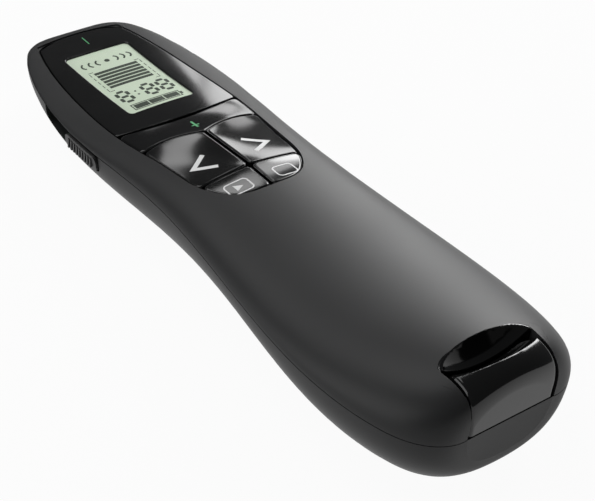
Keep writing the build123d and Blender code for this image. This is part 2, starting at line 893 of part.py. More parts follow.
def upright(x, y, radius, low, high):
    """Upright round bar."""
    return Pos(x, y, (low + high) / 2) * Cylinder(radius, high - low, mode=Mode.PRIVATE)


# ---- top shell: wall, the opening for window and keys ----
console_opening = prism(console_plan(button_gap / 2), key_floor)
dock_opening = box(
    -cap_half_width - cap_gap, cap_half_width + cap_gap, tail - 5, cap_front + cap_gap, seam_at(tail) - 3, 40
)
bezel_opening = prism(bezel_plan.sketch, bezel_z - 3, 40)
with BuildPart() as top_shell:
    add((walls & upper_half) - console_opening - bezel_opening - dock_opening)
    for side in (-1, 1):
        boss = upright(side * boss_x, boss_y, boss_radius - 0.6, seam_at(boss_y) + 0.3, 30) & trim_form
        add(boss - upright(side * boss_x, boss_y, screw_radius + 0.02, 0, screw_tip_z + 0.2))
top_shell.part.label = "top_shell"

# ---- bottom shell ----
laser_tunnel = Pos(0, nose - 5, laser_axis_z) * Cylinder(
    ring_radius, 16, rotation=(90, 0, 0), mode=Mode.PRIVATE
)
laser_bed = Pos(0, nose - 20, laser_axis_z) * Cylinder(
    laser_radius + 0.04, 40, rotation=(90, 0, 0), mode=Mode.PRIVATE
)
with BuildPart() as bottom_shell:
    add((walls & lower_half) - prism(door_opening, -5, seam_at(door_mid) - 3))
    add(slot_cut, mode=Mode.SUBTRACT)
    add(rocker_cut, mode=Mode.SUBTRACT)
    add(timer_cut, mode=Mode.SUBTRACT)
    for side in (-1, 1):
        for x, y in post_places:
            add(upright(side * x, y, post_radius, 0.5, board_bottom) & trim_form)
    for y in (laser_rear + 1.2, laser_front_y - 1.8):
        saddle = box(-3.0, 3.0, y - 0.5, y + 0.5, 0.5, laser_axis_z) & trim_form
        add(saddle - laser_bed)
    for side in (-1, 1):
        add(upright(side * boss_x, boss_y, boss_radius, 0.5, seam_at(boss_y)) & trim_form)
        add(upright(side * boss_x, boss_y, screw_head_radius + 0.2, -5, screw_head_z), mode=Mode.SUBTRACT)
        add(upright(side * boss_x, boss_y, screw_radius + 0.15, -5, 20), mode=Mode.SUBTRACT)
    add(laser_tunnel, mode=Mode.SUBTRACT)
bottom_shell.part.label = "bottom_shell"

pieces = [
    top_shell, bottom_shell, display_window, display_lens, lcd_panel, lcd_holder, laser_button, back_button,
    next_button, slideshow_button, blank_button, key_frame, battery_door, usb_shell, usb_tongue, usb_contacts,
    receiver_body, receiver_board, receiver_cap, dock_bezel, power_slider, timer_rocker, timer_button,
    switch_indicator, circuit_board, tact_switches, side_switches, slide_switch, board_chips, laser_barrel,
    laser_lens, aperture_ring, vibration_motor, motor_shaft, vibration_weight, battery_left, battery_right,
    battery_springs, battery_contacts, battery_tray, receiver_sleeve, housing_screws,
]
for piece in pieces:
    export_step(piece.part, f"parts/{piece.part.label}.step")
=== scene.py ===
"""Looks for the wireless presentation remote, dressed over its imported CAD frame.

The form and the plan outlines are in millimetres; meshes, lamps and the camera are in metres.
"""
import json
import math

import bmesh
import bpy
import numpy as np
from mathutils import Matrix, Vector
from mathutils.geometry import delaunay_2d_cdt

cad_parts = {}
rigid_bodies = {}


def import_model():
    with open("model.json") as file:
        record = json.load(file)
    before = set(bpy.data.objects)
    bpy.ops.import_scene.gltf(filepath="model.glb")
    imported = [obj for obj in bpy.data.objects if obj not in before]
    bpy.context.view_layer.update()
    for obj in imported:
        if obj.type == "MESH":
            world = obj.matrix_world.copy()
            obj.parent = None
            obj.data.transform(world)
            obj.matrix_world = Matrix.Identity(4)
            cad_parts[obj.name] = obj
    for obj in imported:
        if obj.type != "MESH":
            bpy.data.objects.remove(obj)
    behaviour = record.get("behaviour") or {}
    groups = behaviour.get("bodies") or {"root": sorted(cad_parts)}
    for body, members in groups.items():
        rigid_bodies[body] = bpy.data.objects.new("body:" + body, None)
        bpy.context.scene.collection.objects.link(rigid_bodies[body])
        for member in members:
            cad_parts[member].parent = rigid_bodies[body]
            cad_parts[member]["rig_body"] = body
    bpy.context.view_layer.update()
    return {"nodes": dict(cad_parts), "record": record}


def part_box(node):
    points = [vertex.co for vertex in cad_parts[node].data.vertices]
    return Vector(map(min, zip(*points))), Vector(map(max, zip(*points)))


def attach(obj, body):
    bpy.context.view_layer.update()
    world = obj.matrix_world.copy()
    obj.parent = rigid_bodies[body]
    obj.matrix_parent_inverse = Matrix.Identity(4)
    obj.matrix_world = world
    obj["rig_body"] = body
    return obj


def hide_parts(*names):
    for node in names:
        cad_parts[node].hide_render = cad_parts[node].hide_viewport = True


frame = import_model()
MM = 0.001

# ---- housing form, in millimetres: one value per station, tail to nose ----
LENGTH = 131.0
STATIONS = np.array((-0.5, -0.305, -0.115, 0.076, 0.267, 0.5)) * LENGTH
HALF_WIDTHS = (19.5, 20.5, 18.6, 17.0, 18.2, 15.05)
CROWN_RISES = (12.6, 7.8, 5.55, 4.65, 2.4, 0.35)
SEAM_HEIGHTS = (14.75, 13.0, 12.6, 12.1, 10.5, 10.2)
BELLY_DEPTHS = (14.5, 12.95, 11.6, 12.1, 10.15, 7.15)
BELLY_SQUARENESS = (2.5, 2.5, 2.1, 2.45, 2.72, 2.85)
PLAN_POWERS = (5.6, 5.4)
PROFILE_POWERS = (6.6, 4.0)
GROUND = 0.1212877
NOSE = LENGTH / 2


def smooth_curve(values):
    """Natural cubic spline through one value per station, for an array of y."""
    count = len(STATIONS)
    spans = np.diff(STATIONS)
    matrix = np.eye(count)
    right = np.zeros(count)
    for i in range(1, count - 1):
        matrix[i, i - 1 : i + 2] = [spans[i - 1], 2 * (spans[i - 1] + spans[i]), spans[i]]
        rise_ahead = (values[i + 1] - values[i]) / spans[i]
        rise_behind = (values[i] - values[i - 1]) / spans[i - 1]
        right[i] = 6 * (rise_ahead - rise_behind)
    bends = np.linalg.solve(matrix, right)
    knots = np.array(values, float)

    def at(y):
        y = np.clip(np.asarray(y, float), STATIONS[0], STATIONS[-1])
        i = np.clip(np.searchsorted(STATIONS, y) - 1, 0, count - 2)
        a = (STATIONS[i + 1] - y) / spans[i]
        b = 1 - a
        bend = (a**3 - a) * bends[i] + (b**3 - b) * bends[i + 1]
        return a * knots[i] + b * knots[i + 1] + bend * spans[i] ** 2 / 6

    return at


half_width_at = smooth_curve(HALF_WIDTHS)
crown_at = smooth_curve(CROWN_RISES)
raw_seam_at = smooth_curve(SEAM_HEIGHTS)
depth_at = smooth_curve(BELLY_DEPTHS)
squareness_at = smooth_curve(BELLY_SQUARENESS)


def end_taper(y, powers):
    """Rounds the form off at both ends."""
    y = np.clip(y, -NOSE + 0.01, NOSE - 0.01)
    power = powers[0] + (powers[1] - powers[0]) / (1 + np.exp(-16 * y / LENGTH))
    return (1 - np.abs(y / NOSE) ** power) ** (1 / power)


def seam_at(y):
    return raw_seam_at(y) - GROUND


def crown_height(x, y):
    """Height of the upper skin over the plan point x, y."""
    half = half_width_at(y) * end_taper(y, PLAN_POWERS)
    rise = crown_at(y) * end_taper(y, PROFILE_POWERS)
    return seam_at(y) + rise * np.sqrt(np.maximum(1 - (x / half) ** 2, 0))


def form_value(points):
    """Zero on the housing's outer skin, negative inside, for an array of points."""
    x, y, z = points.T
    half = half_width_at(y) * end_taper(y, PLAN_POWERS)
    profile = end_taper(y, PROFILE_POWERS)
    up = z - seam_at(y)
    rise = np.maximum(crown_at(y) * profile, 0.05)
    depth = depth_at(y) * profile
    n = np.where(up > 0, 2.0, squareness_at(y))
    reach = np.where(up > 0, rise, depth)
    across = np.maximum(np.abs(x / half), 1e-6)
    height = np.maximum(np.abs(up / reach), 1e-6)
    return (across**n + height**n) ** (1 / n) - 1


def form_slope(points, step=0.02):
    """Gradient of the form's value, for an array of points."""
    slopes = []
    for axis in range(3):
        shift = np.zeros(3)
        shift[axis] = step
        slopes.append((form_value(points + shift) - form_value(points - shift)) / (2 * step))
    return np.stack(slopes, axis=1)


# ---- materials ----
class Socket:
    """A shader socket that takes part in ordinary arithmetic."""

    def __init__(self, maker, out):
        self.maker = maker
        self.out = out

    def math(self, operation, *others):
        values = [self.out] + [o.out if isinstance(o, Socket) else o for o in others]
        return self.maker.node("ShaderNodeMath", {"operation": operation}, dict(enumerate(values)))[0]

    def __add__(self, other):
        return self.math("ADD", other)

    __radd__ = __add__

    def __mul__(self, other):
        return self.math("MULTIPLY", other)

    __rmul__ = __mul__

    def __sub__(self, other):
        return self.math("SUBTRACT", other)

    def __rsub__(self, other):
        return (self * -1.0) + other


class Finish:
    """One material's node tree."""

    def __init__(self, name):
        self.material = bpy.data.materials.new(name)
        self.material.use_nodes = True
        self.tree = self.material.node_tree
        self.tree.nodes.clear()

    def node(self, kind, settings=None, values=None):
        """Adds a node, sets it up, fills its inputs, and returns its outputs."""
        made = self.tree.nodes.new(kind)
        for key, value in (settings or {}).items():
            setattr(made, key, value)
        for key, value in (values or {}).items():
            value = value.out if isinstance(value, Socket) else value
            if isinstance(value, bpy.types.NodeSocket):
                self.tree.links.new(value, made.inputs[key])
            else:
                made.inputs[key].default_value = value
        return [Socket(self, out) for out in made.outputs]

    def place(self):
        return self.node("ShaderNodeTexCoord")[3]

    def noise(self, scale, detail=2.0, roughness=0.5):
        values = {"Vector": self.place(), "Scale": scale, "Detail": detail, "Roughness": roughness}
        return self.node("ShaderNodeTexNoise", None, values)[0]

    def bump(self, height, strength, distance):
        values = {"Height": height, "Strength": strength, "Distance": distance}
        return self.node("ShaderNodeBump", None, values)[0]

    def blend(self, mask, low, high):
        """Colour that goes from low to high with the mask."""
        settings = {"data_type": "RGBA", "blend_type": "MIX"}
        return self.node("ShaderNodeMix", settings, {0: mask, 6: low, 7: high})[2]

    def surface(self, **values):
        inputs = {key.replace("_", " "): value for key, value in values.items()}
        shader = self.node("ShaderNodeBsdfPrincipled", None, inputs)[0]
        self.node("ShaderNodeOutputMaterial", None, {"Surface": shader})
        return self.material


def grey(level, tint=(1.0, 1.0, 1.0)):
    return (level * tint[0], level * tint[1], level * tint[2], 1.0)


def soft_touch():
    """Fine-grained rubbery paint over a moulded shell."""
    f = Finish("soft_touch")
    grain = f.noise(5200.0, 3.0, 0.6)
    cloud = f.noise(60.0, 3.0)
    return f.surface(
        Base_Color=f.blend(cloud, grey(0.019, (0.97, 0.98, 1.0)), grey(0.025, (0.97, 0.98, 1.0))),
        Roughness=0.40 + cloud * 0.06,
        Specular_IOR_Level=0.2,
        Normal=f.bump(grain, 0.10, 0.00004),
    )


def piano_black():
    """Polished black moulding."""
    f = Finish("piano_black")
    ripple = f.noise(140.0, 2.0)
    return f.surface(
        Base_Color=f.blend(ripple, grey(0.003), grey(0.006)),
        Roughness=0.09 + ripple * 0.04,
        Specular_IOR_Level=0.40,
        Normal=f.bump(ripple, 0.02, 0.0001),
    )


def plain_moulding(name, colour, roughness, grain=0.06):
    """Injection-moulded plastic with a fine spark-eroded texture."""
    f = Finish(name)
    speckle = f.noise(3600.0, 3.0, 0.6)
    cloud = f.noise(90.0)
    darker = tuple(c * 0.86 for c in colour[:3]) + (1.0,)
    return f.surface(
        Base_Color=f.blend(cloud, darker, colour),
        Roughness=roughness + speckle * 0.08,
        Normal=f.bump(speckle, grain, 0.00005),
    )


def metal(name, colour, roughness):
    """Drawn or plated metal with faint streaks."""
    f = Finish(name)
    streak = f.noise(420.0, 4.0, 0.7)
    return f.surface(
        Base_Color=f.blend(streak, tuple(c * 0.85 for c in colour[:3]) + (1.0,), colour),
        Metallic=1.0,
        Roughness=roughness + streak * 0.12,
    )


def clear_pane():
    """Thin clear pane: what lies behind shows, with a faint sheen on the outside only."""
    f = Finish("clear_pane")
    behind = f.node("ShaderNodeBsdfTransparent", None, {"Color": (0.95, 0.97, 0.95, 1.0)})[0]
    sheen = f.node("ShaderNodeBsdfGlossy", None, {"Color": grey(1.0), "Roughness": 0.10})[0]
    edge = f.node("ShaderNodeFresnel", None, {"IOR": 1.1})[0]
    outside = 1.0 - f.node("ShaderNodeNewGeometry")[6]
    both = f.node("ShaderNodeMixShader", None, {0: edge * outside, 1: behind, 2: sheen})[0]
    f.node("ShaderNodeOutputMaterial", None, {"Surface": both})
    return f.material


FINISHES = {
    "housing": soft_touch(),
    "gloss": piano_black(),
    "lens": clear_pane(),
    "lcd": plain_moulding("display_film", (0.72, 0.77, 0.66, 1.0), 0.35, 0.02),
    "frame_plastic": plain_moulding("black_moulding", grey(0.012), 0.45),
    "control": plain_moulding("control_moulding", grey(0.015), 0.42),
    "indicator": plain_moulding("green_mark", (0.03, 0.42, 0.10, 1.0), 0.35),
    "board": plain_moulding("board_laminate", (0.02, 0.14, 0.06, 1.0), 0.4),
    "component": plain_moulding("component_body", grey(0.02), 0.5),
    "steel": metal("plated_steel", (0.62, 0.62, 0.63, 1.0), 0.22),
    "gold": metal("plated_brass", (0.78, 0.58, 0.26, 1.0), 0.25),
    "tongue": plain_moulding("white_carrier", grey(0.7), 0.4),
    "optic": clear_pane(),
    "ring": plain_moulding("ring_moulding", grey(0.01), 0.25),
    "cell_wrap": plain_moulding("cell_wrap", (0.06, 0.09, 0.18, 1.0), 0.3),
}
PRINT_WHITE = plain_moulding("white_print", grey(0.72), 0.4, 0.0)
PRINT_GREEN = plain_moulding("green_print", (0.05, 0.34, 0.12, 1.0), 0.4, 0.0)
SEGMENT_INK = plain_moulding("segment_ink", (0.020, 0.028, 0.018, 1.0), 0.45, 0.0)
slot_of = {s["node"]: s["material_slot"] for s in frame["record"]["subparts"]}

for name, node in frame["nodes"].items():
    node.data.materials.clear()
    node.data.materials.append(FINISHES[slot_of[name]])


def body_of(node):
    return frame["nodes"][node]["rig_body"]


def settle(mesh, name, material, body, stands_for=()):
    """Links a finished mesh, which already holds its own place, and lets it ride on its body."""
    piece = bpy.data.objects.new(name, mesh)
    bpy.context.scene.collection.objects.link(piece)
    mesh.materials.clear()
    mesh.materials.append(material)
    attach(piece, body)
    if stands_for:
        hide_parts(*stands_for)
    return piece


def merged_copy(node):
    """The node's mesh with its loose corners joined."""
    mesh = frame["nodes"][node].data.copy()
    bm = bmesh.new()
    bm.from_mesh(mesh)
    bmesh.ops.remove_doubles(bm, verts=bm.verts, dist=1e-7)
    bm.to_mesh(mesh)
    bm.free()
    return mesh


def true_skin(node, name):
    """Copy of a node whose outer skin is shaded by the housing's own curve."""
    mesh = merged_copy(node)
    mesh.shade_smooth()
    mesh.set_sharp_from_angle(angle=math.radians(28))
    points = np.array([v.co for v in mesh.vertices]) / MM
    value = form_value(points)
    slope = form_slope(points)
    steep = np.linalg.norm(slope, axis=1)
    away = np.abs(value) / steep
    slope = slope / steep[:, None]
    corners = np.array([c.vector for c in mesh.corner_normals])
    for face in mesh.polygons:
        ids = list(face.vertices)
        if away[ids].max() > 0.15:
            continue
        if np.dot(slope[ids].mean(axis=0), np.array(face.normal)) < 0.9:
            continue
        corners[list(face.loop_indices)] = slope[ids]
    mesh.normals_split_custom_set([tuple(c) for c in corners])
    slot = slot_of[node]
    return settle(mesh, name, FINISHES[slot], body_of(node), (node,))


true_skin("top_shell", "upper_housing")
true_skin("bottom_shell", "lower_housing")
true_skin("battery_door", "battery_cover")
true_skin("power_slider", "power_knob")
true_skin("timer_rocker", "timer_paddle")
true_skin("timer_button", "timer_dot")


# ---- moulded tops: keys, window and tail pieces are rounded at the rim and follow a smooth height ----
def skin_loops(node):
    """Rims of the node's share of the outer skin, longest first, as plan points in millimetres."""
    mesh = merged_copy(node)
    points = np.array([v.co for v in mesh.vertices]) / MM
    slope = form_slope(points)
    steep = np.linalg.norm(slope, axis=1)
    away = np.abs(form_value(points)) / steep
    slope = slope / steep[:, None]
    uses = {}
    for face in mesh.polygons:
        ids = list(face.vertices)
        if away[ids].max() > 0.05 or np.dot(slope[ids].mean(axis=0), np.array(face.normal)) < 0.8:
            continue
        for k in range(len(ids)):
            edge = (ids[k], ids[(k + 1) % len(ids)])
            uses[edge] = True
    after = {}
    for start, end in uses:
        if (end, start) not in uses:
            after[start] = end
    loops = []
    while after:
        first, here = after.popitem()
        loop = [first]
        while here != first and here in after:
            loop.append(here)
            here = after.pop(here)
        loops.append(points[loop])
    bpy.data.meshes.remove(mesh)

    def run(loop):
        return np.linalg.norm(np.diff(loop, axis=0), axis=1).sum()

    return [evenly(loop[:, :2], 0.22) for loop in sorted(loops, key=run, reverse=True) if len(loop) > 8]


def evenly(loop, step):
    """The closed loop's points again, at an even spacing."""
    closed = np.vstack([loop, loop[:1]])
    run = np.concatenate([[0], np.cumsum(np.linalg.norm(np.diff(closed, axis=0), axis=1))])
    count = max(12, int(run[-1] / step))
    at = np.linspace(0, run[-1], count, endpoint=False)
    return np.stack([np.interp(at, run, closed[:, k]) for k in range(2)], axis=1)


def inward(loop):
    """Unit directions into the material, which lies on the left of the loop's run."""
    along = np.roll(loop, -1, axis=0) - np.roll(loop, 1, axis=0)
    along = along / np.linalg.norm(along, axis=1)[:, None]
    return np.stack([-along[:, 1], along[:, 0]], axis=1)


def within(points, loop):
    """Which plan points lie inside the loop."""
    x, y = points[:, 0][:, None], points[:, 1][:, None]
    x0, y0 = loop.T
    x1, y1 = np.roll(loop, -1, axis=0).T
    crosses = (y0 > y) != (y1 > y)
    meets = (x1 - x0) * (y - y0) / np.where(y1 == y0, 1e-9, y1 - y0) + x0
    return (crosses & (x < meets)).sum(axis=1) % 2 == 1


def nearest(points, loops):
    """Distance from each plan point to the rims."""
    rim = np.vstack(loops)
    best = np.full(len(points), 1e9)
    for start in range(0, len(rim), 200):
        part = rim[start : start + 200]
        gap = np.linalg.norm(points[:, None] - part[None], axis=2).min(axis=1)
        best = np.minimum(best, gap)
    return best


def plate(rings, inside, heights, thickness, level=None):
    """Closed plate from nested rim rings and inner plan points.

    It has an even thickness, or goes down to one level where a level is given.
    """
    verts = [p for group in rings for ring in group for p in ring] + list(inside)
    edges = []
    start = 0
    rims = []
    for group in rings:
        for index, ring in enumerate(group):
            if index == 0:
                rims.append((start, len(ring)))
                edges += [(start + k, start + (k + 1) % len(ring)) for k in range(len(ring))]
            start += len(ring)
    result = delaunay_2d_cdt([Vector(v) for v in verts], edges, [], 1, 1e-5)
    flat, faces, origins = result[0], result[2], result[3]
    plan = np.array([tuple(v) for v in flat])
    centres = plan[np.array([list(f) for f in faces])].mean(axis=1)
    open_room = np.zeros(len(faces), bool)
    for group in rings[1:]:
        open_room |= within(centres, group[0])
    faces = [f for f, empty in zip(faces, open_room) if not empty]
    source = np.array([o[0] if o else 0 for o in origins])
    z, normals = heights(plan, source)
    count = len(plan)
    top = [tuple(f) for f in faces]
    foot = z - thickness if level is None else np.full(count, level)
    solid_points = np.vstack([np.column_stack([plan, z]), np.column_stack([plan, foot])])
    under = [tuple(count + v for v in reversed(f)) for f in top]
    uses = {}
    for f in top:
        for k in range(len(f)):
            uses[(f[k], f[(k + 1) % len(f)])] = True
    sides = [(b, a, a + count, b + count) for a, b in uses if (b, a) not in uses]
    return solid_points, top, under, sides, normals


RIM_SHARES = (0.0, 0.06, 0.18, 0.38, 0.66, 1.0)


def moulded_top(
    node,
    name,
    surface,
    rim_round=0.3,
    spacing=0.45,
    thickness=0.8,
    keep_stem=True,
    loops=None,
    level=None,
    finish=None,
):
    """Replaces a node by its outline under a smooth surface, with a rounded rim and true normals."""
    loops = loops or skin_loops(node)
    shares = [s * rim_round for s in RIM_SHARES]
    rings = []
    for loop in loops:
        into = inward(loop)
        rings.append([loop + into * share for share in shares])
    low, high = loops[0].min(axis=0), loops[0].max(axis=0)
    xs = np.arange(low[0] + spacing / 2, high[0], spacing)
    ys = np.arange(low[1] + spacing / 2, high[1], spacing)
    grid = np.array([(x + (k % 2) * spacing / 2, y) for k, y in enumerate(ys) for x in xs])
    grid = grid[within(grid, loops[0])]
    for hole in loops[1:]:
        grid = grid[~within(grid, hole)]
    grid = grid[nearest(grid, loops) > rim_round + 0.12]
    by_ring = [np.full(len(ring), share) for group in rings for ring, share in zip(group, shares)]
    ring_share = np.concatenate(by_ring)
    ring_into = np.vstack([inward(loop) for loop in loops for _ in shares])

    def heights(plan, source):
        x, y = plan.T
        z = surface(x, y)
        gx = (surface(x + 0.02, y) - surface(x - 0.02, y)) / 0.04
        gy = (surface(x, y + 0.02) - surface(x, y - 0.02)) / 0.04
        on_rim = source < len(ring_share)
        share = np.where(on_rim, ring_share[np.minimum(source, len(ring_share) - 1)], rim_round)
        into = ring_into[np.minimum(source, len(ring_share) - 1)]
        left = rim_round - share
        across = np.sqrt(np.maximum(rim_round**2 - left**2, 0))
        z = z - np.where(on_rim, rim_round - across, 0)
        tilt = np.where(on_rim, left / np.maximum(across, rim_round / 40), 0)
        gx = gx + tilt * into[:, 0]
        gy = gy + tilt * into[:, 1]
        n = np.column_stack([-gx, -gy, np.ones_like(gx)])
        return z, n / np.linalg.norm(n, axis=1)[:, None]

    points, top, under, sides, normals = plate(rings, grid, heights, thickness, level)
    faces = top + under + sides
    start = len(points)
    if keep_stem:
        rest = merged_copy(node)
        old = np.array([v.co for v in rest.vertices]) / MM
        old[:, 2] = np.minimum(old[:, 2], surface(old[:, 0], old[:, 1]) - thickness + 0.05)
        points = np.vstack([points, old])
        faces = faces + [tuple(start + v for v in f.vertices) for f in rest.polygons]
    mesh = bpy.data.meshes.new(name)
    mesh.from_pydata([tuple(p) for p in points * MM], [], faces)
    mesh.update()
    for index, face in enumerate(mesh.polygons):
        face.use_smooth = index < len(top)
    corners = np.array([c.vector for c in mesh.corner_normals])
    for face in mesh.polygons[: len(top)]:
        corners[list(face.loop_indices)] = normals[list(face.vertices)]
    mesh.normals_split_custom_set([tuple(c) for c in corners])
    slot = finish or slot_of[node]
    return settle(mesh, name, FINISHES[slot], body_of(node), (node,))


def dished(centre, half, depth):
    """Housing height with a shallow finger dish at the centre."""

    def at(x, y):
        across = np.clip(1 - ((x - centre[0]) / half[0]) ** 2, 0, 1)
        along = np.clip(1 - ((y - centre[1]) / half[1]) ** 2, 0, 1)
        return crown_height(x, y) - depth * across * along

    return at


KEY_RIM, KEY_PLATE = 0.45, 0.25
WINDOW_RIM, PANE_THICKNESS, DISPLAY_DEPTH = 0.22, 0.15, 0.3
KEY_SURFACES = {
    "laser_button": dished((0.0, 21.8), (12.5, 4.6), 0.40),
    "back_button": dished((-6.4, 11.0), (6.6, 8.6), 0.78),
    "next_button": dished((6.4, 11.0), (6.6, 8.6), 0.78),
    "slideshow_button": dished((-5.4, 0.6), (6.4, 4.4), 0.34),
    "blank_button": dished((5.4, 0.6), (6.4, 4.4), 0.34),
}
for node, surface in KEY_SURFACES.items():
    title = node.replace("_button", "_key")
    moulded_top(node, title, surface, rim_round=KEY_RIM, thickness=KEY_PLATE)
moulded_top("display_window", "window_surround", crown_height, rim_round=WINDOW_RIM, keep_stem=False)
moulded_top(
    "display_lens",
    "display_pane",
    crown_height,
    rim_round=0.02,
    thickness=PANE_THICKNESS,
    keep_stem=False,
)


def panel_height(x, y):
    """Face of the display, as it shows through the pane."""
    return crown_height(x, y) - DISPLAY_DEPTH


moulded_top(
    "lcd_panel",
    "display_face",
    panel_height,
    rim_round=0.02,
    loops=skin_loops("display_lens"),
    keep_stem=False,
)


def rounded(x0, y0, x1, y1, corner, count=5):
    """Plan path round a rectangle with eased corners, anticlockwise."""
    path = []
    centres = (
        (x1 - corner, y1 - corner, 0),
        (x0 + corner, y1 - corner, 1),
        (x0 + corner, y0 + corner, 2),
        (x1 - corner, y0 + corner, 3),
    )
    for cx, cy, turn in centres:
        for k in range(count + 1):
            angle = math.pi / 2 * (turn + k / count)
            path.append((cx + corner * math.cos(angle), cy + corner * math.sin(angle)))
    return path


SCOOP_MID, SCOOP_HALF, SCOOP_SIDE, SCOOP_DEPTH, SCOOP_POWER = -58.3, 3.2, 9.9, 3.9, 0.75
EASE_AT_LIP, EASE_AT_RIDGE, EASE_START, EASE_RUN = 0.4, 1.2, -57.5, 2.5
CAP_FRONT, CAP_HALF, CAP_END = -57.9, 8.6, -65.37
CAP_TAIL_CORNER, CAP_SCOOP_CORNER, CAP_RIM = 0.7, 2.3, 0.7
DOCK_FOOT = 18.0


def dock_height(x, y):
    """Housing height with the finger scoop worn into it, eased where the two meet."""
    crown = crown_height(x, y)
    top = float(crown_height(np.array(0.0), np.array(SCOOP_MID + SCOOP_HALF)))
    room = 1 - (x / SCOOP_SIDE) ** 2 - ((y - SCOOP_MID) / SCOOP_HALF) ** 2
    bowl = top - SCOOP_DEPTH * np.sign(room) * np.abs(room) ** SCOOP_POWER
    to_ridge = np.clip((EASE_START - y) / EASE_RUN, 0, 1)
    ease = EASE_AT_LIP + (EASE_AT_RIDGE - EASE_AT_LIP) * to_ridge
    gap = np.clip(0.5 + 0.5 * (crown - bowl) / ease, 0, 1)
    return crown * (1 - gap) + bowl * gap - ease * gap * (1 - gap)


def tail_rim():
    """Plan outline of the grip: near-square at the tail, with full corners at the scoop."""
    path = rounded(-CAP_HALF, CAP_END, CAP_HALF, CAP_END + 3, CAP_TAIL_CORNER)[12:]
    front = rounded(-CAP_HALF, CAP_FRONT - 5, CAP_HALF, CAP_FRONT, CAP_SCOOP_CORNER)[:12]
    return front + path


cap_level = float(seam_at(-NOSE)) + 0.25
moulded_top(
    "receiver_cap",
    "receiver_grip",
    dock_height,
    rim_round=CAP_RIM,
    spacing=0.26,
    loops=[evenly(np.array(tail_rim()), 0.2)],
    level=cap_level,
    keep_stem=False,
)
pocket = [(8.85, -57.65), (9.25, -57.9), (9.1, -57.0), (8.2, -56.2), (6.5, -55.5), (3.0, -55.1), (0, -55.0)]
pocket += [(-x, y) for x, y in reversed(pocket[:-1])]
moulded_top(
    "dock_bezel",
    "dock_lip",
    dock_height,
    rim_round=0.14,
    spacing=0.22,
    loops=[evenly(np.array(pocket), 0.18)],
    level=DOCK_FOOT,
    keep_stem=False,
)
cheek_outside = [(8.9, -63.4), (10.3, -60.2), (11.32, -58.4), (11.5, -57.6), (11.02, -56.8), (9.97, -56.14)]
cheek_front = [(8.4, -55.69), (6.5, -55.48)]
cheek_inside = [(8.2, -56.2), (9.1, -57.0), (9.25, -57.9), (9.1, -60.0), (8.95, -63.2)]
cheek = cheek_outside + cheek_front + cheek_inside
for side, title in ((1, "right"), (-1, "left")):
    rim = [(side * x, y) for x, y in (cheek if side > 0 else reversed(cheek))]
    moulded_top(
        "dock_bezel",
        "dock_cheek_" + title,
        crown_height,
        rim_round=0.03,
        loops=[evenly(np.array(rim), 0.15)],
        level=DOCK_FOOT,
        keep_stem=False,
        finish="housing",
    )


# ---- flat marks: thin printed or displayed shapes that follow a surface ----
def slab(shapes, surface, lift, depth):
    """Closed thin solids over flat outlines; each shape is a list of plan points and a list of faces."""
    points = []
    faces = []
    for plan, flat_faces in shapes:
        start = len(points)
        plan = np.array(plan, float)
        z = surface(plan[:, 0], plan[:, 1]) + lift
        count = len(plan)
        points += [tuple(p) for p in np.column_stack([plan, z])]
        points += [tuple(p) for p in np.column_stack([plan, z - depth])]
        uses = {}
        for f in flat_faces:
            faces.append(tuple(start + v for v in f))
            faces.append(tuple(start + count + v for v in reversed(f)))
            for k in range(len(f)):
                uses[(f[k], f[(k + 1) % len(f)])] = True
        for a, b in uses:
            if (b, a) not in uses:
                faces.append((start + b, start + a, start + a + count, start + b + count))
    return points, faces


def stroke(path, width, closed=False, step=0.35):
    """Ribbon of even width along a plan path, mitred at its corners."""
    path = np.array(path, float)
    ends = list(range(len(path))) + ([0] if closed else [])
    dense = []
    for a, b in zip(ends[:-1], ends[1:]):
        count = max(1, int(np.linalg.norm(path[b] - path[a]) / step))
        dense += [path[a] + (path[b] - path[a]) * k / count for k in range(count)]
    if not closed:
        dense.append(path[-1])
    dense = np.array(dense)
    before = np.roll(dense, 1, axis=0)
    behind = np.roll(dense, -1, axis=0)
    if not closed:
        before[0] = 2 * dense[0] - dense[1]
        behind[-1] = 2 * dense[-1] - dense[-2]
    into = dense - before
    out = behind - dense
    into = into / np.linalg.norm(into, axis=1)[:, None]
    out = out / np.linalg.norm(out, axis=1)[:, None]
    mean = into + out
    mean = mean / np.maximum(np.linalg.norm(mean, axis=1), 0.2)[:, None]
    stretch = 1 / np.maximum((mean * into).sum(axis=1), 0.45)
    side = np.column_stack([-mean[:, 1], mean[:, 0]]) * (width / 2 * stretch)[:, None]
    count = len(dense)
    plan = np.vstack([dense + side, dense - side])
    spans = range(count if closed else count - 1)
    faces = [(k, count + k, count + (k + 1) % count, (k + 1) % count) for k in spans]
    return plan, faces


def block(x0, y0, x1, y1, step=0.7):
    """Filled plan rectangle, cut across its width so that it follows the surface."""
    count = max(1, int(math.ceil((x1 - x0) / step)))
    xs = [x0 + (x1 - x0) * k / count for k in range(count + 1)]
    plan = [(x, y0) for x in xs] + [(x, y1) for x in xs]
    return plan, [(k, k + 1, count + 2 + k, count + 1 + k) for k in range(count)]


def disc(x, y, radius, count=16):
    """Filled plan circle."""
    turns = [2 * math.pi * k / count for k in range(count)]
    ring = [(x + radius * math.cos(turn), y + radius * math.sin(turn)) for turn in turns]
    return ring, [tuple(range(count))]


def mark(name, shapes, surface, material, node, lift=0.012, depth=0.05):
    """One piece from flat shapes, on the body of a node."""
    points, faces = slab(shapes, surface, lift, depth)
    mesh = bpy.data.meshes.new(name)
    mesh.from_pydata([tuple(c * MM for c in p) for p in points], [], faces)
    mesh.update()
    return settle(mesh, name, material, body_of(node))


def key_mark(name, shapes, material, node):
    """Mark on the dished top of a key."""
    return mark(name, shapes, KEY_SURFACES[node], material, node)


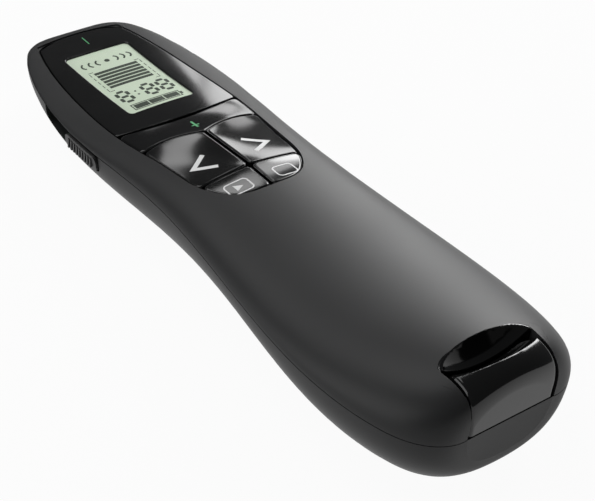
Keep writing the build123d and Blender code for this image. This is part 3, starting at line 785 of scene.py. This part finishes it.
ARROW_STROKE, ICON_STROKE = 0.85, 0.28
back_arrow = stroke([(-4.6, 12.0), (-8.3, 9.3), (-4.4, 7.3)], ARROW_STROKE)
next_arrow = stroke([(4.2, 12.6), (8.0, 9.9), (4.1, 7.7)], ARROW_STROKE)
key_mark("back_arrow", [back_arrow], PRINT_WHITE, "back_button")
key_mark("next_arrow", [next_arrow], PRINT_WHITE, "next_button")
screen = rounded(-7.6, -1.9, -2.9, 1.4, 0.8)
play = ([(-6.0, -1.1), (-4.3, -0.25), (-6.0, 0.6)], [(0, 1, 2)])
key_mark("slideshow_icon", [stroke(screen, ICON_STROKE, True), play], PRINT_WHITE, "slideshow_button")
sheet = rounded(2.6, -1.7, 6.7, 1.3, 0.8)
key_mark("blank_icon", [stroke(sheet, ICON_STROKE, True)], PRINT_WHITE, "blank_button")
laser_beam = stroke([(0.2, 22.9), (0.2, 20.5)], 0.42)
laser_cross = stroke([(-0.6, 21.4), (1.0, 21.4)], 0.26)
key_mark("laser_mark", [laser_beam, laser_cross], PRINT_GREEN, "laser_button")
tick = stroke([(0.2, 62.1), (0.2, 59.3)], 0.22)
mark("window_tick", [tick], crown_height, PRINT_GREEN, "display_window")

# ---- display: dark segments on the pale panel ----
PANEL_FRONT, PANEL_REAR, PANEL_HALF = NOSE - 9.0, NOSE - 33.6, 7.05


def spot(u, v):
    """Plan point from shares across and down the panel."""
    return (2 * u - 1) * PANEL_HALF, PANEL_FRONT + (PANEL_REAR - PANEL_FRONT) * v


SIGNAL_ROW, DIGIT_ROW = 0.166, 0.73


def bracket(u, side, bend=0.55):
    """One radio-wave bracket of the signal row."""
    x, y = spot(u, SIGNAL_ROW)
    path = []
    for k in range(9):
        t = -1 + 2 * k / 8
        path.append((x + side * bend * (0.5 - t * t), y + 0.92 * t))
    return stroke(path, 0.38)


def digit(u, half_x=1.1, half_y=2.0, weight=0.72, split=0.12):
    """Seven-segment eight, as six-sided bars."""
    cx, cy = spot(u, DIGIT_ROW)
    thick = weight / 2
    point = 0.14
    shapes = []
    for level in (-1, 0, 1):
        y = cy + level * half_y
        inner = half_x - thick - split
        left, right = cx - inner, cx + inner
        upper = [(left - point, y), (left, y + thick), (right, y + thick)]
        lower = [(right + point, y), (right, y - thick), (left, y - thick)]
        shapes.append((upper + lower, [(5, 4, 3, 2, 1, 0)]))
    for side in (-1, 1):
        for low in (-1, 0):
            x = cx + side * half_x
            y0 = cy + low * half_y + thick + split / 2
            y1 = cy + (low + 1) * half_y - thick - split / 2
            outer = [(x, y0 - point), (x + thick, y0), (x + thick, y1)]
            facing = [(x, y1 + point), (x - thick, y1), (x - thick, y0)]
            shapes.append((outer + facing, [(0, 1, 2, 3, 4, 5)]))
    return shapes


segments = [bracket(u, -1) for u in (0.135, 0.245, 0.355)] + [bracket(u, 1) for u in (0.66, 0.765, 0.87)]
segments.append(disc(*spot(0.51, SIGNAL_ROW), 0.55))
for row in range(6):
    x0, y = spot(0.165, 0.308 + 0.047 * row)
    x1, _ = spot(0.845, 0.308)
    segments.append(block(x0, y - 0.41, x1, y + 0.41))
x0, y1 = spot(0.105, 0.272)
x1, y0 = spot(0.905, 0.60)
HAIR, CORNER_RUN, DASHES = 0.07, 1.0, 5
for left, right, y in (
    (x0, x0 + CORNER_RUN, y1),
    (x1 - CORNER_RUN, x1, y1),
    (x0, x0 + CORNER_RUN, y0),
    (x1 - CORNER_RUN, x1, y0),
):
    segments.append(block(left, y - HAIR, right, y + HAIR))
for x in (x0, x1):
    for k in range(DASHES):
        y = y0 + (y1 - y0) * (k + 0.1) / DASHES
        segments.append(block(x - HAIR, y, x + HAIR, y + (y1 - y0) * 0.13))
for u in (0.20, 0.585, 0.825):
    segments += digit(u)
for v in (0.70, 0.755):
    segments.append(disc(*spot(0.39, v), 0.24))
bx0, by1 = spot(0.13, 0.872)
bx1, by0 = spot(0.865, 0.955)
segments.append(stroke([(bx0, by0), (bx1, by0), (bx1, by1), (bx0, by1)], 0.2, True))
segments.append(block(bx1 + 0.14, (by0 + by1) / 2 - 0.45, bx1 + 0.55, (by0 + by1) / 2 + 0.45))
third = (bx1 - bx0 - 0.5) / 3
for k in range(3):
    left = bx0 + 0.25 + k * third
    segments.append(block(left + 0.12, by0 + 0.28, left + third - 0.12, by1 - 0.28))
mark("display_segments", segments, panel_height, SEGMENT_INK, "lcd_panel", 0.02, 0.05)


# ---- coil springs in the battery bay, and ribs on the power knob ----
def group_input(tree, name, kind, value):
    socket = tree.interface.new_socket(name, in_out="INPUT", socket_type=kind)
    socket.default_value = value
    return socket.identifier


def shaped(name, tree, inputs):
    """Plain mesh made by one node tree."""
    seed = bpy.data.meshes.new(name)
    seed.from_pydata([(0, 0, 0)], [], [])
    obj = bpy.data.objects.new(name, seed)
    bpy.context.scene.collection.objects.link(obj)
    modifier = obj.modifiers.new("shape", "NODES")
    modifier.node_group = tree
    for identifier, value in inputs.items():
        modifier[identifier] = value
    graph = bpy.context.evaluated_depsgraph_get()
    mesh = bpy.data.meshes.new_from_object(obj.evaluated_get(graph))
    obj.modifiers.remove(modifier)
    bpy.data.objects.remove(obj)
    return mesh


def coil_tree():
    tree = bpy.data.node_groups.new("coil", "GeometryNodeTree")
    tree.interface.new_socket("Geometry", in_out="OUTPUT", socket_type="NodeSocketGeometry")
    names = {
        "turns": group_input(tree, "turns", "NodeSocketFloat", 4.0),
        "wide": group_input(tree, "wide end", "NodeSocketFloat", 0.0032),
        "narrow": group_input(tree, "narrow end", "NodeSocketFloat", 0.0024),
        "length": group_input(tree, "length", "NodeSocketFloat", 0.003),
        "wire": group_input(tree, "wire", "NodeSocketFloat", 0.0003),
    }
    given = tree.nodes.new("NodeGroupInput")
    spiral = tree.nodes.new("GeometryNodeCurveSpiral")
    spiral.inputs["Resolution"].default_value = 28
    profile = tree.nodes.new("GeometryNodeCurvePrimitiveCircle")
    profile.inputs["Resolution"].default_value = 8
    sweep = tree.nodes.new("GeometryNodeCurveToMesh")
    sweep.inputs["Fill Caps"].default_value = True
    smooth = tree.nodes.new("GeometryNodeSetShadeSmooth")
    real = tree.nodes.new("GeometryNodeRealizeInstances")
    paint = tree.nodes.new("GeometryNodeSetMaterial")
    paint.inputs["Material"].default_value = FINISHES["steel"]
    result = tree.nodes.new("NodeGroupOutput")
    link = tree.links.new
    link(given.outputs["turns"], spiral.inputs["Rotations"])
    link(given.outputs["wide end"], spiral.inputs["Start Radius"])
    link(given.outputs["narrow end"], spiral.inputs["End Radius"])
    link(given.outputs["length"], spiral.inputs["Height"])
    link(given.outputs["wire"], profile.inputs["Radius"])
    link(spiral.outputs["Curve"], sweep.inputs["Curve"])
    link(profile.outputs["Curve"], sweep.inputs["Profile Curve"])
    link(sweep.outputs["Mesh"], smooth.inputs["Geometry"])
    link(smooth.outputs["Geometry"], real.inputs["Geometry"])
    link(real.outputs["Geometry"], paint.inputs["Geometry"])
    link(paint.outputs["Geometry"], result.inputs["Geometry"])
    return tree, names


def rib_tree():
    tree = bpy.data.node_groups.new("ribs", "GeometryNodeTree")
    tree.interface.new_socket("Geometry", in_out="OUTPUT", socket_type="NodeSocketGeometry")
    names = {
        "start": group_input(tree, "start", "NodeSocketVector", (0, 0, 0)),
        "end": group_input(tree, "end", "NodeSocketVector", (0, 0.01, 0)),
        "count": group_input(tree, "count", "NodeSocketInt", 9),
        "size": group_input(tree, "size", "NodeSocketVector", (0.0004, 0.0004, 0.0022)),
    }
    given = tree.nodes.new("NodeGroupInput")
    line = tree.nodes.new("GeometryNodeMeshLine")
    line.mode = "END_POINTS"
    bar = tree.nodes.new("GeometryNodeMeshCube")
    spread = tree.nodes.new("GeometryNodeInstanceOnPoints")
    real = tree.nodes.new("GeometryNodeRealizeInstances")
    paint = tree.nodes.new("GeometryNodeSetMaterial")
    paint.inputs["Material"].default_value = FINISHES["control"]
    result = tree.nodes.new("NodeGroupOutput")
    link = tree.links.new
    link(given.outputs["start"], line.inputs["Start Location"])
    link(given.outputs["end"], line.inputs["Offset"])
    link(given.outputs["count"], line.inputs["Count"])
    link(given.outputs["size"], bar.inputs["Size"])
    link(line.outputs["Mesh"], spread.inputs["Points"])
    link(bar.outputs["Mesh"], spread.inputs["Instance"])
    link(spread.outputs["Instances"], real.inputs["Geometry"])
    link(real.outputs["Geometry"], paint.inputs["Geometry"])
    link(paint.outputs["Geometry"], result.inputs["Geometry"])
    return tree, names


def placed(mesh, turn, shift):
    """Turns and shifts the mesh's own points."""
    mesh.transform(Matrix.Translation(Vector(shift)) @ turn)
    return mesh


def joined(name, meshes):
    """One mesh from several."""
    points = []
    faces = []
    for mesh in meshes:
        start = len(points)
        points += [tuple(v.co) for v in mesh.vertices]
        faces += [tuple(start + v for v in f.vertices) for f in mesh.polygons]
        bpy.data.meshes.remove(mesh)
    whole = bpy.data.meshes.new(name)
    whole.from_pydata(points, [], faces)
    whole.update()
    whole.shade_smooth()
    return whole


CELL_X, CELL_Z, BAY_REAR, BAY_FRONT = 5.4, 7.95, -57.2, -8.9
coils, coil_names = coil_tree()
coil_sizes = {coil_names["turns"]: 4.5, coil_names["length"]: 0.0024}
PLATE_GAP = 0.7
facing_forward = Matrix.Rotation(-math.pi / 2, 4, "X")
facing_back = Matrix.Rotation(math.pi / 2, 4, "X")
rear_place = (-CELL_X * MM, (BAY_REAR + PLATE_GAP) * MM, CELL_Z * MM)
front_place = (CELL_X * MM, (BAY_FRONT - PLATE_GAP) * MM, CELL_Z * MM)
rear_coil = placed(shaped("rear_coil", coils, coil_sizes), facing_forward, rear_place)
front_coil = placed(shaped("front_coil", coils, coil_sizes), facing_back, front_place)
settle(
    joined("cell_springs", [rear_coil, front_coil]),
    "cell_springs",
    FINISHES["steel"],
    body_of("battery_springs"),
    ("battery_springs",),
)

knob_low, knob_high = (np.array(c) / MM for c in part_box("power_slider"))
ribs, rib_names = rib_tree()


def flank(y):
    """Plan x of the left side at y."""
    return -float(half_width_at(y) * end_taper(y, PLAN_POWERS))


RIB_MARGIN, RIB_STAND, SLOT_FALL = 1.6, 0.30, 0.0438539
rib_rear, rib_front = knob_low[1] + RIB_MARGIN, knob_high[1] - RIB_MARGIN
rib_z = (knob_low[2] + knob_high[2]) / 2
fall = SLOT_FALL * (rib_front - rib_rear) / 2
rib_start = (flank(rib_rear) - RIB_STAND, rib_rear, rib_z + fall)
rib_end = (flank(rib_front) - RIB_STAND, rib_front, rib_z - fall)
rib_mesh = shaped(
    "knob_ribs",
    ribs,
    {
        rib_names["start"]: tuple(c * MM for c in rib_start),
        rib_names["end"]: tuple(c * MM for c in rib_end),
        rib_names["count"]: 9,
        rib_names["size"]: (0.0005, 0.00042, 0.0019),
    },
)
settle(rib_mesh, "knob_ribs", FINISHES["control"], body_of("power_slider"))

# ---- camera ----
azimuth, elevation, roll = (math.radians(a) for a in (-40.33375, 39.71102, 6.36820))
back = Vector(
    (
        math.sin(azimuth) * math.cos(elevation),
        -math.cos(azimuth) * math.cos(elevation),
        math.sin(elevation),
    )
)
level = Vector((math.cos(azimuth), math.sin(azimuth), 0))
upward = back.cross(level)
right = level * math.cos(roll) + upward * math.sin(roll)
above = upward * math.cos(roll) - level * math.sin(roll)
lens = bpy.data.cameras.new("camera")
SENSOR_WIDTH, FOCAL_PIXELS, WIDTH_PIXELS = 36.0, 1597.742, 595
lens.sensor_width = SENSOR_WIDTH
lens.lens = FOCAL_PIXELS / WIDTH_PIXELS * SENSOR_WIDTH
lens.clip_start = 0.01
camera = bpy.data.objects.new("camera", lens)
camera.matrix_world = Matrix(
    (
        (right.x, above.x, back.x, -0.13787448),
        (right.y, above.y, back.y, -0.17384854),
        (right.z, above.z, back.z, 0.18537051),
        (0, 0, 0, 1),
    )
)
bpy.context.scene.collection.objects.link(camera)
bpy.context.scene.camera = camera


# ---- floor, backdrop colour and lamps ----
def floor_finish():
    f = Finish("floor_paper")
    lit = f.node("ShaderNodeBsdfDiffuse", None, {"Color": grey(0.55)})[0]
    white = f.node("ShaderNodeEmission", None, {"Color": grey(1.0), "Strength": 1.0})[0]
    ray = f.node("ShaderNodeLightPath")
    seen = ray[0].math("MAXIMUM", ray[3]).math("MAXIMUM", ray[6])
    both = f.node("ShaderNodeMixShader", None, {0: seen * 0.95, 1: lit, 2: white})[0]
    f.node("ShaderNodeOutputMaterial", None, {"Surface": both})
    return f.material


floor_mesh = bpy.data.meshes.new("floor")
FLOOR_REACH, FLOOR_DROP = 2, 0.0002
floor_corners = [(x * FLOOR_REACH, y * FLOOR_REACH, -FLOOR_DROP) for x, y in ((-1, -1), (1, -1), (1, 1), (-1, 1))]
floor_mesh.from_pydata(floor_corners, [], [(0, 1, 2, 3)])
floor_mesh.materials.append(floor_finish())
floor = bpy.data.objects.new("floor", floor_mesh)
bpy.context.scene.collection.objects.link(floor)

world = bpy.data.worlds.new("studio")
bpy.context.scene.world = world
world.use_nodes = True
nodes = world.node_tree.nodes
links = world.node_tree.links
nodes.clear()
air = nodes.new("ShaderNodeBackground")
air.inputs["Color"].default_value = (0.96, 0.98, 1.0, 1)
air.inputs["Strength"].default_value = 0.12
finish = nodes.new("ShaderNodeOutputWorld")
links.new(air.outputs[0], finish.inputs["Surface"])


def lamp(name, place, aim, size, power):
    data = bpy.data.lights.new(name, "AREA")
    data.shape = "RECTANGLE"
    data.size, data.size_y = size
    data.energy = power
    obj = bpy.data.objects.new(name, data)
    obj.location = place
    obj.rotation_euler = (Vector(aim) - Vector(place)).to_track_quat("-Z", "Y").to_euler()
    bpy.context.scene.collection.objects.link(obj)


def bearing(azimuth, elevation, reach):
    """Place of a lamp, by its bearing from the object and its distance."""
    az, el = math.radians(azimuth), math.radians(elevation)
    flat = reach * math.cos(el)
    return flat * math.sin(az), flat * math.cos(az), 0.01 + reach * math.sin(el)


aim = (0, 0.015, 0.02)
lamp("low_softbox", bearing(38, 10, 0.5), aim, (0.09, 0.08), 0.11)
lamp("window_strip", bearing(35, 24, 0.5), aim, (0.03, 0.15), 0.07)
lamp("right_spot", bearing(44, 28, 0.5), aim, (0.06, 0.08), 0.07)
lamp("left_spot", bearing(26, 37, 0.5), aim, (0.05, 0.10), 0.07)
lamp("palm_softbox", bearing(60, 24, 0.5), (0, -0.03, 0.02), (0.24, 0.26), 1.8)
lamp("overhead_softbox", (-0.10, 0.22, 0.42), (0, 0, 0.01), (0.30, 0.30), 0.9)
lamp("side_fill", (-0.40, 0.10, 0.14), (0, 0, 0.01), (0.40, 0.30), 0.9)

bpy.context.scene.view_settings.view_transform = "Standard"
